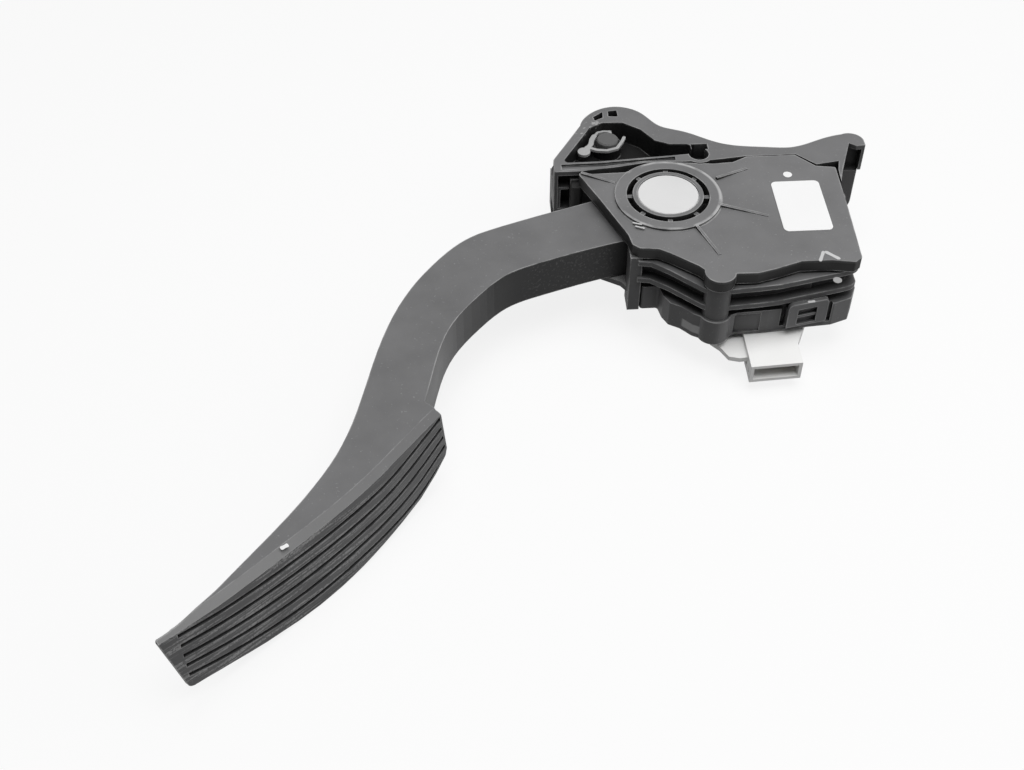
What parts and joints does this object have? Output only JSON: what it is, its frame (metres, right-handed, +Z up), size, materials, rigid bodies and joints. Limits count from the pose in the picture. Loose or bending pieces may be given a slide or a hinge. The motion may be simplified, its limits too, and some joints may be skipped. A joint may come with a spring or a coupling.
{
  "type": "accelerator pedal",
  "caption": "Electronic accelerator pedal module: long black pedal arm with a ribbed pad, pivoting in a flat sensor housing with a bulkhead bracket and a side connector.",
  "frame": {"origin": "midway between the two bulkhead bolt holes, on the flat faces of the lugs", "axes": "+X to the driver's right, +Y forward into the bulkhead along the bolts, +Z up along the bolt line"},
  "size_m": [0.045, 0.2415, 0.254],
  "materials": {
    "glass_filled_nylon": "fine grain, satin wear",
    "connector_nylon": "off-white moulding",
    "axle_aluminium": "machined, dull",
    "steel": "zinc plated",
    "bronze": "sintered",
    "rubber": "matt",
    "board": "solder mask",
    "magnet": "ferrite",
    "lining": "friction compound",
    "label": "blank paper label"
  },
  "bodies": {
    "housing": {"main_housing": "glass_filled_nylon", "hub_cover": "glass_filled_nylon", "lower_cover": "glass_filled_nylon", "connector_housing": "connector_nylon", "terminals": "bronze", "circuit_board": "board", "sensor_chips": "rubber", "housing_seal": "rubber", "cover_screws": "steel", "connector_screws": "steel", "mount_sleeves": "steel", "pivot_axle": "axle_aluminium", "axle_clip": "steel", "idle_bumper": "rubber", "full_stop_bumper": "rubber", "outer_spring": "steel", "inner_spring": "steel", "recess_pin": "rubber", "retaining_clip": "steel", "label_plate": "label"},
    "pedal": {"pedal_arm": "glass_filled_nylon", "bush_left": "bronze", "bush_right": "bronze", "magnet_carrier": "glass_filled_nylon", "sensor_magnets": "magnet", "friction_lever": "glass_filled_nylon", "friction_lining": "lining", "friction_pin": "steel"}
  },
  "joints": [
    {"name": "pedal_press", "type": "hinge", "parent": "housing", "child": "pedal", "pos_m": [-0.0141, -0.0345, -0.0195], "axis": [1, 0, 0], "range_deg": [0, 16], "stiffness_Nm_per_rad": 14, "springref_deg": -16.62, "deforming": ["outer_spring", "inner_spring"]}
  ]
}
